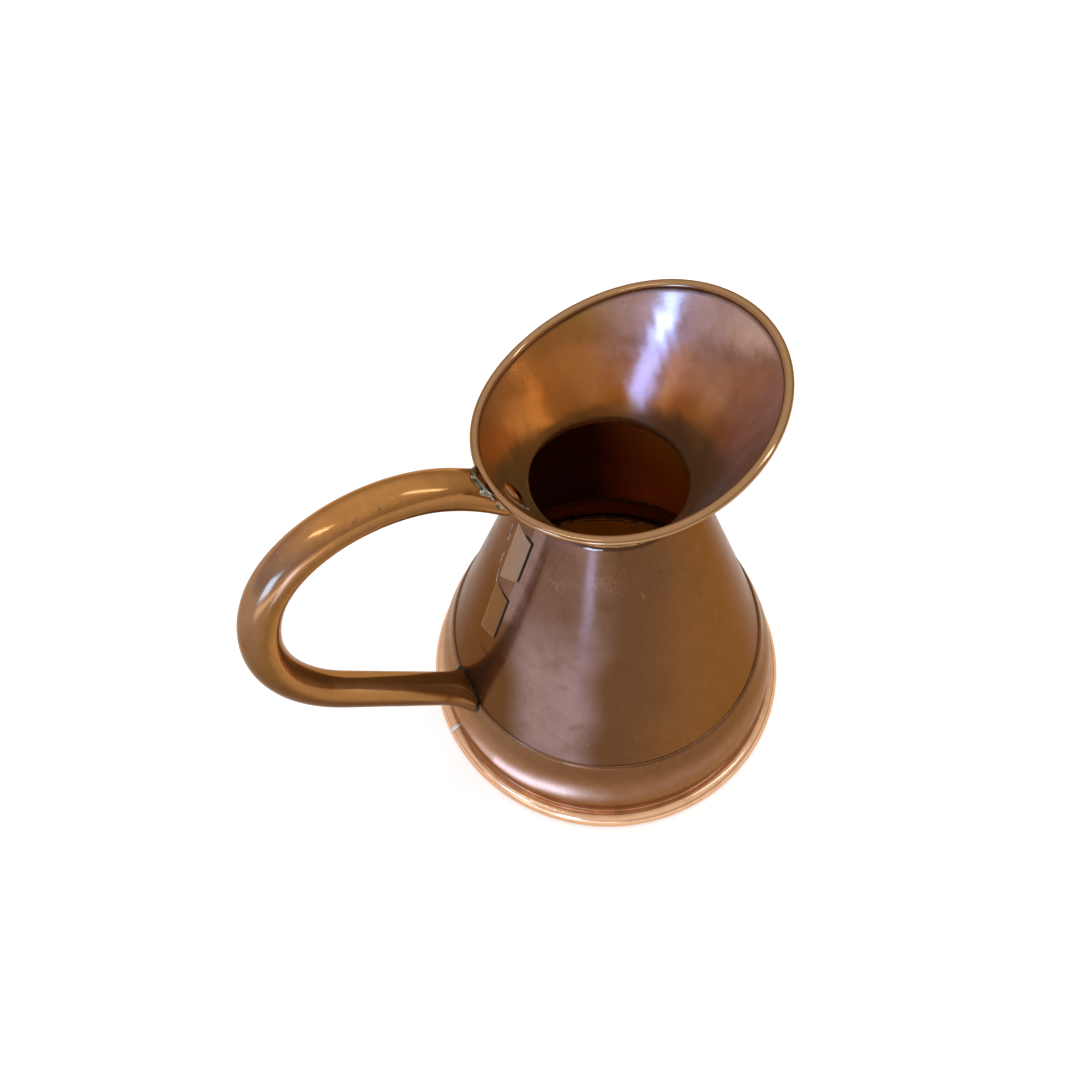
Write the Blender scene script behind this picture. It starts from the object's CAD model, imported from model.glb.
# %% [markdown]
# A copper jug, dressed for its photograph
#
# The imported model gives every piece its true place, but it is cut into flat facets, and polished
# metal shows each one. So the shapes that are seen are made again here as fine numpy surfaces on
# the same sizes, and each stands in for its node. The frame comes first, because everything else
# is placed from it.

# %% Load the frame
import math

import bpy
import numpy as np
from mathutils import Matrix, Vector


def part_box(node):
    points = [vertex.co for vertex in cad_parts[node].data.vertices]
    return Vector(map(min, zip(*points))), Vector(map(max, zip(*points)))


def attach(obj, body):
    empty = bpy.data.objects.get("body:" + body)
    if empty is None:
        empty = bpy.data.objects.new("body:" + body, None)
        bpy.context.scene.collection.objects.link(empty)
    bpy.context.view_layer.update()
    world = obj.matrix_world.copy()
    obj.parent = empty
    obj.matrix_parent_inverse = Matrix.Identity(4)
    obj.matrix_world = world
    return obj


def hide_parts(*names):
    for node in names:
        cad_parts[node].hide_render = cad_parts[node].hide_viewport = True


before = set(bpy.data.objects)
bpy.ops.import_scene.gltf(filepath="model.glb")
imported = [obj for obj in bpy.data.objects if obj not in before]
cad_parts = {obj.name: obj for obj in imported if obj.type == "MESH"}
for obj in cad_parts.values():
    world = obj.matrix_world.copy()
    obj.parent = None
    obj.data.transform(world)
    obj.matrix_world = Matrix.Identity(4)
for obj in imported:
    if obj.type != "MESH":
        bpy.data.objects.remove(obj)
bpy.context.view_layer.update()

skirt_low, skirt_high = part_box("foot_skirt")
AXIS_X = (skirt_low.x + skirt_high.x) / 2
print("the jug's own axis stands at x =", round(AXIS_X, 5), "m")

# %% [markdown]
# The sizes
#
# These are the jug's own measures in millimetres, about its own axis: the spout points to +X and
# the handle to -X. They repeat the part's source, which this script can't read. Meshes are worked
# out in millimetres and turned into metres only when they are handed to Blender.

# %% Sizes of sheet, foot, body and mouth
SHEET, FLARE_SHEET, GAP = 0.9, 0.7, 0.3
FOOT_RADIUS, FOOT_BEAD, FOOT_WEAR = 98.0, 4.6, 0.5
GROOVE_DEPTH, GROOVE_SIDE, GROOVE_REACH = 2.9, 0.3, 2.0
BELLY_OVERHANG, BELLY_HEIGHT, BELLY_PULL = 1.2, 12.5, 17.0
SKIRT_HEIGHT, SKIRT_LAP, LAP_PULL = 51.9, 8.0, 7.6
BODY_RADIUS, BODY_HEIGHT, NECK_RADIUS = 81.2, 127.7, 34.5
FLARE_ANGLE, COLLAR_DEPTH = math.radians(25.6), 6.0
LIP_RISE, LIP_PITCH, LIP_REACH = 45.0, math.radians(13.4), 60.0
LIP_SWEEP, LIP_EASE, LIP_LEAN, LIP_BEAD = 6.0, 2.7, 0.051, 1.9
NECK_LIFT, NECK_BACK, NECK_SIDE = 1.95, 2.25, 1.5
NECK_BAND, NECK_EASE = 8.1, 12.0
SKEW_NEAR, SKEW_FAR = 4.0, 26.0

neck_z = SKIRT_HEIGHT + BODY_HEIGHT
flare_slope = math.tan(FLARE_ANGLE)
flare_wall = FLARE_SHEET * math.hypot(1, flare_slope)
body_neck_radius = NECK_RADIUS + flare_wall + GAP + SHEET
body_slope = (BODY_RADIUS - body_neck_radius) / BODY_HEIGHT
body_wall = SHEET * math.hypot(1, body_slope)
bead_radius = FOOT_RADIUS - FOOT_BEAD
bead_z = FOOT_BEAD - FOOT_WEAR
groove_radius = bead_radius - GROOVE_DEPTH
groove_z = bead_z + math.sqrt(FOOT_BEAD**2 - GROOVE_DEPTH**2)
belly_radius = groove_radius + BELLY_OVERHANG
lap_bottom = SKIRT_HEIGHT - SKIRT_LAP
skirt_top_radius = BODY_RADIUS + GAP + SHEET
skirt_lap_radius = skirt_top_radius + body_slope * SKIRT_LAP


def body_radius(z):
    """Outer radius of the cone: the neck's radius plus the slope times the drop below the neck."""
    return body_neck_radius + body_slope * (neck_z - z)


def flare_radius(z):
    """Inner radius of the funnel: the neck's radius plus the flare's slope times the rise."""
    return NECK_RADIUS + flare_slope * (z - neck_z)


def lip_point(a):
    """Radius and height where the funnel's inner face meets the sloping lip at azimuth a.

    The lip's height is a plane that climbs to the spout, plus a square and a cube of x that sweep
    it up at both ends, minus a slight lean along y. Radius and height depend on each other, so the
    pair is repeated until it settles."""
    a = np.asarray(a, float)
    z = np.full_like(a, neck_z + LIP_RISE)
    for _ in range(30):
        r = flare_radius(z)
        x, y = r * np.cos(a), r * np.sin(a)
        t = x / LIP_REACH
        z = (neck_z + LIP_RISE + math.tan(LIP_PITCH) * x + LIP_SWEEP * t**2 - LIP_EASE * t**3
             - LIP_LEAN * y)
    return flare_radius(z), z


back_lip_z, spout_z = (float(height) for height in lip_point([np.pi, 0.0])[1])
print(f"neck at z = {neck_z:.1f} mm; lip from {back_lip_z:.1f} to {spout_z:.1f} mm")

# %% [markdown]
# A mouth set a little askew
#
# The funnel was soldered on by eye: its neck rides further up the cone at the handle than at the
# spout. Every piece is first worked out round a level neck, and this one rule then moves its
# points, so that cone, funnel, solder, rivet and handle stay seated on each other.

# %% Skew of the neck
def soft_step(edge0, edge1, x):
    """0 before edge0, 1 after edge1, and a smooth S between them."""
    t = np.clip((x - edge0) / (edge1 - edge0), 0, 1)
    return t * t * (3 - 2 * t)


def neck_rise(a):
    """How far the neck rides up the cone at azimuth a: a constant and one wave round the jug."""
    return NECK_LIFT - NECK_BACK * np.cos(a) - NECK_SIDE * np.sin(a)


def settle_neck(points):
    """Slides points along the cone near the neck by the neck's rise, and keeps the funnel's wall
    straight from there to its unmoved lip; both fade to nothing out along the handle."""
    x, y, z = points[..., 0], points[..., 1], points[..., 2]
    r, a = np.maximum(np.hypot(x, y), 1e-6), np.arctan2(y, x)
    lip_r, lip_z = lip_point(a)
    rise = neck_rise(a)
    near = soft_step(neck_z - NECK_BAND, neck_z, z) * (1 - soft_step(neck_z, neck_z + NECK_EASE, z))
    part = 1 - soft_step(SKEW_NEAR, SKEW_FAR, r - flare_radius(z) - flare_wall)
    share = np.minimum((z + rise * near - neck_z - rise) / (lip_z - neck_z - rise), 1)
    low_r = NECK_RADIUS - body_slope * rise
    above = np.where(z < lip_z, low_r + (lip_r - low_r) * share - flare_radius(z), 0)
    shift = np.where(z > neck_z, above, -body_slope * rise * near) * part / r
    return np.stack([x * (1 + shift), y * (1 + shift), z + rise * near * part], axis=-1)


print(f"the neck rises {neck_rise(np.pi):.2f} mm at the handle, {neck_rise(0.0):.2f} at the spout")

# %% [markdown]
# From a grid of points to a mesh
#
# Nearly every piece is a sheet rolled round something, so one helper does most of the work: it
# takes a grid of points, joins each to its neighbours with quads, closes the grid round one or both
# ways, and stores named marks per point. They say where the metal is worn bright, where grime has
# settled, what faces the inside of the jug, and where a film or a shade lies on it. The materials
# read them later, and a mark that a piece doesn't carry reads as nought.

# %% Grid to mesh
def grid_piece(name, points, close_u=True, close_v=True, more_faces=(), **marks):
    """Quads between neighbours of a (nu, nv, 3) grid of millimetre points, and faces by number."""
    nu, nv = points.shape[:2]
    co = settle_neck(points).reshape(-1, 3) * 0.001 + np.array([AXIS_X, 0.0, 0.0])
    number = np.arange(nu * nv).reshape(nu, nv)
    if close_u:
        number = np.concatenate([number, number[:1]])
    if close_v:
        number = np.concatenate([number, number[:, :1]], axis=1)
    quads = np.stack([number[:-1, :-1], number[1:, :-1], number[1:, 1:], number[:-1, 1:]], axis=-1)
    mesh = bpy.data.meshes.new(name)
    mesh.from_pydata(co.tolist(), [], quads.reshape(-1, 4).tolist() + [list(f) for f in more_faces])
    for mark, value in marks.items():
        layer = mesh.attributes.new(mark, "FLOAT", "POINT")
        value = np.broadcast_to(value, (nu, nv)).astype(np.float32)
        layer.data.foreach_set("value", value.ravel())
    mesh.validate()
    mesh.update()
    mesh.polygons.foreach_set("use_smooth", np.ones(len(mesh.polygons), dtype=bool))
    piece = bpy.data.objects.new(name, mesh)
    bpy.context.scene.collection.objects.link(piece)
    return piece


def enclosed(piece):
    """Signed volume in cubic millimetres: a sum over triangles, positive with normals outwards."""
    mesh = piece.data
    mesh.calc_loop_triangles()
    corner = np.empty(len(mesh.loop_triangles) * 3, dtype=np.int32)
    mesh.loop_triangles.foreach_get("vertices", corner)
    co = np.empty(len(mesh.vertices) * 3)
    mesh.vertices.foreach_get("co", co)
    tri = co.reshape(-1, 3)[corner.reshape(-1, 3)]
    return float(np.einsum("ij,ij->i", tri[:, 0], np.cross(tri[:, 1], tri[:, 2])).sum() / 6 * 1e9)


def settle(piece, node=None):
    """Turns faces outwards if need be, and hangs the piece on the root in its node's place."""
    if enclosed(piece) < 0:
        piece.data.flip_normals()
    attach(piece, "root")
    if node:
        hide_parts(node)
    print(f"{piece.name}: {len(piece.data.polygons)} faces, {enclosed(piece):.0f} mm3")


def strip_ends(rows, half):
    """Quads that close both ends of a strip whose rows run half points out and half back."""
    i = np.arange(half - 1)
    first = np.stack([i, i + 1, 2 * half - 2 - i, 2 * half - 1 - i], axis=1)
    return np.concatenate([first, first[:, ::-1] + (rows - 1) * 2 * half]).tolist()


def turned_ends(rows, count):
    """Polygons that close the two ends of a turned outline of count points."""
    first = np.arange(rows) * count
    return [first.tolist(), (first + count - 1)[::-1].tolist()]


print("helpers for meshes are ready")

# %% [markdown]
# The unevenness of hand work
#
# Sheet that was hammered round a former is never quite true. A few slow sine waves, crossed at
# random angles from a fixed seed, move the wall by a tenth of a millimetre: too little to see on an
# edge, but enough to make a reflection waver. Solder is lumpier, in waves that close round a ring.

# %% Ripple and lumps
def ripple(u, v, seed, waves=7, spread=1.0):
    """Mean of sine waves over u and v with random directions, lengths and phases, within -1..1."""
    rng = np.random.default_rng(seed)
    total = np.zeros(np.broadcast(u, v).shape)
    for _ in range(waves):
        turn, length = rng.uniform(0, 2 * np.pi), rng.uniform(0.6, 1.6) * spread
        along = (np.cos(turn) * u + np.sin(turn) * v) * 2 * np.pi / length
        total += np.sin(along + rng.uniform(0, 2 * np.pi))
    return total / waves


def lumps(k, seed, low=2, high=13):
    """Waves that fit round a ring a whole number of times, weaker as they get finer, in -1..1."""
    rng = np.random.default_rng(seed)
    total = np.zeros_like(k)
    for n in range(low, high):
        total += np.sin(n * k + rng.uniform(0, 2 * np.pi)) * rng.uniform(0.4, 1.0) / n**0.6
    return total / np.abs(total).max()


print("a ripple's first values:", ripple(np.arange(3.0), 0.0, 1).round(2))

# %% [markdown]
# Small formulas for marks and outlines
#
# A mark is a hill or a smooth step of some place on the metal: an angle from a given azimuth, a
# height, or how far right the point lies in the photograph. The other formulas here make outlines
# and turn them round the axis.

# %% Small formulas
VIEW_X, VIEW_Y = 0.887, 0.46


def hill(x, centre, width):
    """A bell curve: 1 at the centre, and e to the minus square of the distance over the width."""
    return np.exp(-((x - centre) / width) ** 2)


def turned_from(a, start):
    """Azimuth a in degrees from a start in degrees, within -180..180."""
    return (np.degrees(a) - start + 180) % 360 - 180


def seen_right(x, y):
    """How far right a point lies in the photograph: x, y along the camera's level right."""
    return VIEW_X * x - VIEW_Y * y


def around(count):
    """A column of azimuths once round, without repeating the first."""
    return (np.arange(count) * 2 * np.pi / count)[:, None]


def swept_round(a, r, z):
    """Points at radius r and height z for a column of azimuths; r and z have a row each or one."""
    return np.stack(np.broadcast_arrays(r * np.cos(a), r * np.sin(a), z), axis=-1)


def arc(cr, cz, radius, start, end, count):
    """Points of a circle's arc in the r, z plane; degrees, anticlockwise positive."""
    t = np.radians(np.linspace(start, end, count))
    return np.stack([cr + radius * np.cos(t), cz + radius * np.sin(t)], axis=1)


def eased(count, pull=2.2):
    """Values from 0 to 1 that crowd towards both ends, so that an edge can be rounded."""
    return (np.tanh(pull * np.linspace(-1, 1, count)) / np.tanh(pull) + 1) / 2


def resample(corners, step):
    """Points every step millimetres along the straight lines between corners."""
    corners = np.asarray(corners, float)
    lengths = np.linalg.norm(np.diff(corners, axis=0), axis=1)
    length = np.concatenate([[0], np.cumsum(lengths)])
    at = np.linspace(0, length[-1], int(length[-1] / step) + 2)
    return np.stack([np.interp(at, length, column) for column in corners.T], axis=1)


print("eased steps from 0 to 1:", eased(5).round(2))

# %% [markdown]
# The body
#
# The body is one sheet bent to a cone, so its outline is a straight line turned about the axis. It
# gets a wall, because one looks down inside it, and a slow ripple. The lower edge hides in the
# foot. A mauve film lies on the left of the side that faces the camera and beside the seam, and
# two patches of fine nicks lie under the lip.

# %% Body cone
a = around(360)
BODY_ROWS = 90
body_top = neck_z - GAP
up = np.linspace(lap_bottom, body_top, BODY_ROWS)
z = np.concatenate([up, up[::-1]])
inner = np.repeat([0.0, 1.0], BODY_ROWS)
r = body_radius(z) - inner * body_wall
x, y = r * np.cos(a), r * np.sin(a)
off_ends = soft_step(0, 9, z - lap_bottom) * soft_step(0, 7, body_top - z)
dent = 0.13 * ripple(np.cos(a) * 58, np.sin(a) * 58 + z, 11, spread=52) * off_ends
right = seen_right(x, y)
wavy_right = right + 7 * ripple(a * 30, z, 13, spread=60)
facing = soft_step(-30, 20, -VIEW_Y * x - VIEW_X * y)
film = soft_step(-54, -38, wavy_right) * soft_step(0, -20, wavy_right - 6 * soft_step(105, 140, z))
film = film * facing * (0.25 + 0.75 * soft_step(150, 100, z))
past_seam = (a - np.pi) * r
lapped = soft_step(4.0, 5.0, past_seam) * soft_step(14.5, 13.7, past_seam) * soft_step(113, 122, z)
nicks = hill(right, -23.5, 4.5) * hill(z, 158.5, 5) + 0.6 * hill(right, -2, 8) * hill(z, 163, 8)
body = grid_piece(
    "body_shell", swept_round(a, r + dent, z),
    grime=np.maximum(0.10 * soft_step(6.5, 0.5, z - SKIRT_HEIGHT) * (z > SKIRT_HEIGHT - 1),
                     0.3 * soft_step(3, 0, body_top - z)),
    inside=inner,
    bloom=np.maximum(film, 0.85 * lapped) * (1 - inner),
    nicks=nicks * facing * (1 - inner),
    shade=1.38 * soft_step(36, -8, wavy_right) * inner,
)
settle(body, "body_cone")

# %% [markdown]
# The seam
#
# The cone is closed by cramps: tabs cut along one edge of the sheet are folded over the other and
# hammered down. Each tab shows as a lozenge that stands a little proud at its top and right edges
# and melts into the wall at its left. Real steps catch the light better than a drawn line, so each
# tab is a thin cushion of its own that lies on the cone. Heights are given down from the neck.

# %% Seam flaps
SEAM_LEFT, SEAM_RIGHT = 7.0, 5.5
FLAPS = {
    "top": dict(top=10.1, right=35.7, left=45.8, rise=0.50, shift=0.4),
    "middle": dict(top=50.2, right=79.0, left=84.6, rise=0.40, shift=-0.7),
    "low": dict(top=93.0, right=112.0, left=114.0, rise=0.10, shift=-0.7),
}
EDGE_ROUND, UNDER = 0.3, -0.25


def on_cone(across, z, height):
    """A point of the cone's skin: millimetres round from the handle's plane, raised by height."""
    r = body_radius(z)
    t = np.pi + across / r
    r = r + height
    return np.stack([r * np.cos(t), r * np.sin(t), z + 0 * r], axis=-1)


def flap_piece(name, top, right, left, rise, shift):
    """A cushion over a four-sided patch: full height inside, a quarter round at top and right."""
    u, v = eased(36)[None, :], eased(70)[:, None]
    wide = SEAM_LEFT + SEAM_RIGHT
    across = shift - SEAM_LEFT + u * wide
    low_z = neck_z - (left + (right - left) * u)
    tall = neck_z - top - low_z
    z = low_z + tall * v
    from_right, from_top = (1 - u) * wide, (1 - v) * tall
    round_over = lambda d: np.sqrt(1 - (1 - np.clip(d / EDGE_ROUND, 0, 1)) ** 2)
    edge = round_over(from_right) * round_over(from_top)
    faint = soft_step(0, 2.2, u * wide) * (0.35 + 0.65 * soft_step(0, 2.0, v * tall))
    height = 0.02 + rise * (0.55 + 0.45 * u) * edge * (0.25 + 0.75 * faint)
    height = height + 0.03 * ripple(across, z, 5, spread=9) * edge * faint
    ring = np.concatenate([on_cone(across, z, height), on_cone(across, z, UNDER)[:, ::-1]], axis=1)
    dirt = np.maximum(soft_step(0.30, 0.22, from_right),
                      soft_step(0.30, 0.22, from_top) * soft_step(0.5, 0.65, u))
    rows, count = z.shape
    return grid_piece(name, ring, close_u=False, more_faces=strip_ends(rows, count),
                      grime=np.concatenate([dirt, 0 * dirt], axis=1))


for place, sizes in FLAPS.items():
    settle(flap_piece("seam_flap_" + place, **sizes))

# %% [markdown]
# The joint lines and traces of solder
#
# Under the free edges of the tabs runs an open joint, filled with old grime. It is narrower than
# half a millimetre, so it is laid as a fine flat thread along the edges. Beside the tabs and under
# the front of the lip, the same kind of thread stands for smears of solder that were wiped off.

# %% Joint threads and solder traces
JOINTS = {"top": (7.6, 0.46, 0.12), "middle": (1.2, 0.28, 0.12), "low": (4.0, 0.07, 0.02)}
TRACES = {
    "seam_trace_top": [(-11.5, 163.5), (-9.6, 158.0), (-10.6, 152.5)],
    "seam_trace_middle": [(-9.4, 147.0), (-10.2, 142.0), (-9.2, 138.5)],
    "seam_trace_low": [(-9.4, 135.5), (-8.2, 131.0), (-7.6, 127.5)],
    "seam_trace_end": [(-7.6, 95.2), (-1.2, 100.5)],
    "neck_trace": [(28.5, 178.2), (37.0, 178.5)],
}


def thread(name, path, lift, width, height):
    """A low bead along a path of (across, z), lifted off the cone: its section is an ellipse."""
    turn = np.linspace(0, 2 * np.pi, 9)[:-1]
    way = np.gradient(path, axis=0)
    way /= np.linalg.norm(way, axis=1)[:, None]
    side = np.stack([-way[:, 1], way[:, 0]], axis=1)
    from_end = np.minimum(np.arange(len(path)), np.arange(len(path))[::-1])
    taper = np.sqrt(np.clip(from_end / 4, 0.02, 1))
    spread = np.cos(turn)[None, :, None] * (width * taper)[:, None, None]
    flat = path[:, None] + side[:, None, :] * spread
    points = on_cone(flat[..., 0], flat[..., 1], lift + np.sin(turn) * height * taper[:, None])
    rows, count = flat.shape[:2]
    caps = [list(range(count))[::-1], [(rows - 1) * count + i for i in range(count)]]
    settle(grid_piece(name, points, close_u=False, more_faces=caps))


for place, (begin, width, height) in JOINTS.items():
    flap = FLAPS[place]
    top_z, right_z = neck_z - flap["top"] + 0.5, neck_z - flap["right"]
    right_edge = flap["shift"] + SEAM_RIGHT + 0.5
    path = resample([(flap["shift"] - SEAM_LEFT + begin, top_z), (right_edge, top_z),
                     (right_edge, right_z)], 0.7)
    path[:, 0] += 0.06 * ripple(path[:, 0], path[:, 1], 8, spread=12)
    thread("seam_joint_" + place, path, 0.03, width, height)

for name, corners in TRACES.items():
    path = resample(corners, 0.5)
    path += 0.22 * np.stack([ripple(path[:, 1], 0 * path[:, 1], 15, spread=4),
                             ripple(path[:, 0], path[:, 1], 16, spread=3)], axis=1)
    width = 0.30 * (1 + 0.5 * ripple(path[:, 1], path[:, 0], 17, spread=3))
    thread(name, path, 0.06, width, 0.14)

# %% [markdown]
# The foot
#
# A second sheet laps over the cone, swells to a belly, turns in to a groove and is rolled round a
# wire into the bead that the jug stands on. Its outline is drawn once: an S-shaped Bezier curve for
# the swell, circle arcs for groove and bead, and the same again one sheet further in. Turned about
# the axis, it closes on itself like a tyre. A pale ridge of film lies on the belly at the front.

# %% Foot skirt
def bezier(p0, p1, p2, p3, count):
    """Cubic Bezier curve: the four points weighted by the powers of t and 1 - t."""
    t = np.linspace(0, 1, count)[:, None]
    p0, p1, p2, p3 = (np.asarray(p, float) for p in (p0, p1, p2, p3))
    return (1 - t) ** 3 * p0 + 3 * (1 - t) ** 2 * t * p1 + 3 * (1 - t) * t**2 * p2 + t**3 * p3


def ogee(wall, count):
    """The skirt's S from lap to belly, set in by a wall."""
    run = math.hypot(1, body_slope)
    lap = (skirt_lap_radius - wall, lap_bottom)
    belly = (belly_radius - wall, BELLY_HEIGHT)
    pull = (lap[0] + body_slope * LAP_PULL / run, lap[1] - LAP_PULL / run)
    return bezier(lap, pull, (belly[0] + BELLY_OVERHANG, belly[1] + BELLY_PULL), belly, count)


def on_lap(drop, out=0.0):
    """A point of the lap's outer face, a drop below the skirt's top edge."""
    return (skirt_top_radius + drop * body_slope + out, SKIRT_HEIGHT - drop)


groove_turn = math.degrees(math.acos(-GROOVE_DEPTH / FOOT_BEAD))
wear_turn = math.degrees(math.asin(bead_z / FOOT_BEAD))
over_groove = (groove_radius + GROOVE_SIDE, groove_z + GROOVE_REACH)
bead_start = arc(bead_radius, bead_z, FOOT_BEAD, groove_turn - 12, 0, 1)[0]
outer = np.concatenate([
    bezier((BODY_RADIUS + 0.10, SKIRT_HEIGHT), (BODY_RADIUS + 0.55, SKIRT_HEIGHT + 0.05),
           (on_lap(2.2, -0.2)[0], SKIRT_HEIGHT - 0.9), on_lap(3.0), 14),
    resample([on_lap(3.8), (skirt_lap_radius, lap_bottom)], 0.8)[:-1],
    ogee(0, 54),
    bezier((belly_radius, BELLY_HEIGHT), (belly_radius, BELLY_HEIGHT - 1.2),
           (over_groove[0], over_groove[1] + 0.8), over_groove, 9)[1:-1],
    bezier(over_groove, (over_groove[0] - 0.15, groove_z + 0.9),
           (groove_radius + 0.15, groove_z + 0.5), bead_start, 8)[:-1],
    arc(bead_radius, bead_z, FOOT_BEAD, groove_turn - 12, -wear_turn, 40),
    arc(bead_radius, bead_z, FOOT_BEAD, wear_turn - 180, -200, 10),
])
lining = np.concatenate([
    arc(bead_radius, bead_z, FOOT_BEAD - SHEET, -200, groove_turn + 10, 26),
    [[groove_radius - SHEET, groove_z - 0.2], [over_groove[0] - SHEET, over_groove[1]]],
    ogee(SHEET, 24)[::-1],
    [[BODY_RADIUS + 0.15 + 0.6 * body_slope, SKIRT_HEIGHT - 0.6]],
])
r, z = np.concatenate([outer, lining]).T
inner = np.repeat([0.0, 1.0], [len(outer), len(lining)])
bead_angle = np.degrees(np.arctan2(z - bead_z, r - bead_radius))
on_bead = np.hypot(r - bead_radius, z - bead_z) < FOOT_BEAD + 0.05
on_bead = on_bead * soft_step(groove_turn - 45, groove_turn - 95, bead_angle)
top_edge = soft_step(1.3, 0.3, SKIRT_HEIGHT - z)
a = around(400)
dent = 0.12 * ripple(np.cos(a) * 90, np.sin(a) * 90 + z, 21, spread=70)
dent = dent * soft_step(16, 26, z) * soft_step(52, 44, z)
FRONT_LEFT = -147
turned = turned_from(a, FRONT_LEFT)
at_front = 0.05 + 0.95 * soft_step(-30, -12, turned) * soft_step(36, 2, turned)
ridge_z = 28 + 0.09 * np.clip(turned, -30, 60)
wavy_z = z + 1.5 * ripple(a * 90, z, 23, spread=60)
under_lap = 0.42 * soft_step(lap_bottom - 9, lap_bottom + 1, z)
skirt = grid_piece(
    "skirt_shell", swept_round(a, r + dent, z),
    wear=np.clip(on_bead + 0.10 * top_edge + 0.6 * soft_step(19, 11, z), 0, 1) * (1 - inner),
    grime=0.08 * soft_step(1.6, 0.3, np.hypot(r - groove_radius, z - groove_z - 0.6)),
    inside=inner,
    shade=np.maximum(under_lap, 0.40 * hill(z, 18, 3.2)) * (1 - inner),
    bloom=hill(wavy_z, ridge_z, 5) * (1 - inner) * at_front,
)
settle(skirt, "foot_skirt")

# %% [markdown]
# The mouth
#
# The funnel is a cone cut by a sloping, slightly curved lip, so its height changes round the jug.
# Each azimuth gets its own outline: up the outer face, over the rolled bead, round the wire and
# down the inner face. The raw edge of the roll comes back to the inner face but doesn't meet it,
# and hand work leaves it ragged, so the roll's end angle wavers.

# %% Mouth flare
a = around(400)
lip_r, lip_z = lip_point(a)
collar_z = neck_z - COLLAR_DEPTH
collar_out = body_radius(collar_z) - body_wall - GAP


def roll_points(distance, turn):
    """Points round the lip's bead at a distance from its centre; 0 degrees is down the funnel."""
    turn = np.radians(turn)
    low, out = -distance * np.cos(turn), distance * np.sin(turn)
    s, c = math.sin(FLARE_ANGLE), math.cos(FLARE_ANGLE)
    return np.stack([lip_r + low * s + out * c, lip_z + low * c - out * s], axis=-1)


def between(p, q, count):
    """Straight rows of points between two columns of r, z points."""
    t = np.linspace(0, 1, count)[None, :, None]
    p, q = (np.broadcast_to(end, (len(a), 2))[:, None] for end in (p, q))
    return p * (1 - t) + q * t


ROLL_END, RAW_EDGE_AT = 318, 74
start = math.degrees(math.asin(FLARE_SHEET / LIP_BEAD))
ragged = 4 * ripple(np.cos(a) * 50, np.sin(a) * 50, 31, waves=11, spread=9)
ragged += 9 * hill(turned_from(a, RAW_EDGE_AT), 0, math.degrees(0.05)) * np.sin(a * 90)
end = ROLL_END + ragged
share = np.linspace(0, 1, 30)
roll_turn = start + (end - start) * share
roll_out = roll_points(LIP_BEAD, roll_turn)
roll_in = roll_points(LIP_BEAD - FLARE_SHEET, end * (1 - share))
outside_neck, inside_neck = (NECK_RADIUS + flare_wall, neck_z), (NECK_RADIUS, neck_z)
COLLAR_BACK, OUTER_WALL, ROLL_OUT, ROLL_IN, INNER_WALL, COLLAR = range(6)
parts = [
    between((collar_out, collar_z), outside_neck, 6)[:, :-1],
    between(outside_neck, roll_out[:, 0], 26)[:, :-1],
    roll_out, roll_in,
    between(roll_in[:, -1], inside_neck, 44)[:, 1:],
    between(inside_neck, (collar_out - flare_wall, collar_z), 6)[:, 1:],
]
where = np.repeat(np.arange(6), [part.shape[1] for part in parts])
r, z = np.moveaxis(np.concatenate(parts, axis=1), -1, 0)
x, y = r * np.cos(a), r * np.sin(a)
drop = lip_z - z
outer_face, inner_face = where == OUTER_WALL, where == INNER_WALL
on_wall = (outer_face | inner_face) * soft_step(0, 9, drop - 2) * soft_step(0, 6, z - neck_z)
dent = on_wall * (0.12 * ripple(x, y + z, 41, spread=30)
                  + 0.09 * ripple(x + z, y, 42, waves=9, spread=14)
                  + 0.035 * ripple(x, y - z, 43, waves=9, spread=7))
r = r + dent
roll_wear = np.zeros(r.shape)
roll_wear[:, where == ROLL_OUT] = soft_step(60, 110, roll_turn) * soft_step(310, 270, roll_turn)
right = seen_right(x, y)
wavy_right = right + 6 * ripple(x, y + z, 44, spread=28)
level = (z - neck_z) / (lip_z - neck_z) + 0.22 * ripple(x, y + z, 45, waves=9, spread=36)
film = soft_step(-10, 14, wavy_right) * soft_step(0.22, 0.55, level + 0.35 * hill(right, 17, 9))
film = inner_face * film * (1 - 0.25 * soft_step(36, 50, wavy_right))
upper_left = inner_face * soft_step(0.45, 0.75, level) * soft_step(12, -10, wavy_right)
joint_dirt_z = neck_z + 1.6 + 0.7 * ripple(a * 34, 0 * z, 46, waves=9, spread=12)
beside_rivet = inner_face * np.exp(-((turned_from(a, 180) - 8) / 32) ** 4)
grime = (1.0 * (where == ROLL_IN) + inner_face * soft_step(3.4, 1.3, drop)
         + outer_face * (0.7 * soft_step(4.5, 1.6, drop) + 0.6 * soft_step(4.5, 1, z - neck_z))
         + 0.35 * ((where == COLLAR) | (where == COLLAR_BACK))
         + 0.8 * soft_step(1.3, 0.5, np.abs(z - joint_dirt_z)) * beside_rivet)
flare = grid_piece("flare_shell", swept_round(a, r, z), bloom=film, wear=roll_wear,
                   shade=0.30 * upper_left + 0.85 * outer_face, grime=np.clip(grime, 0, 1))
settle(flare, "mouth_flare")

# %% [markdown]
# The handle
#
# The handle is a hollow tube. Its centre line is a straight root, two arcs and a straight arm, all
# in one plane, and its section widens and flattens near the ends, like the tail of a fish, where
# the tube was opened out to be soldered on. The ends are cut to the funnel and to the body: each
# long line of the tube is followed outwards, and starts where it leaves the wall behind.

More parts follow.
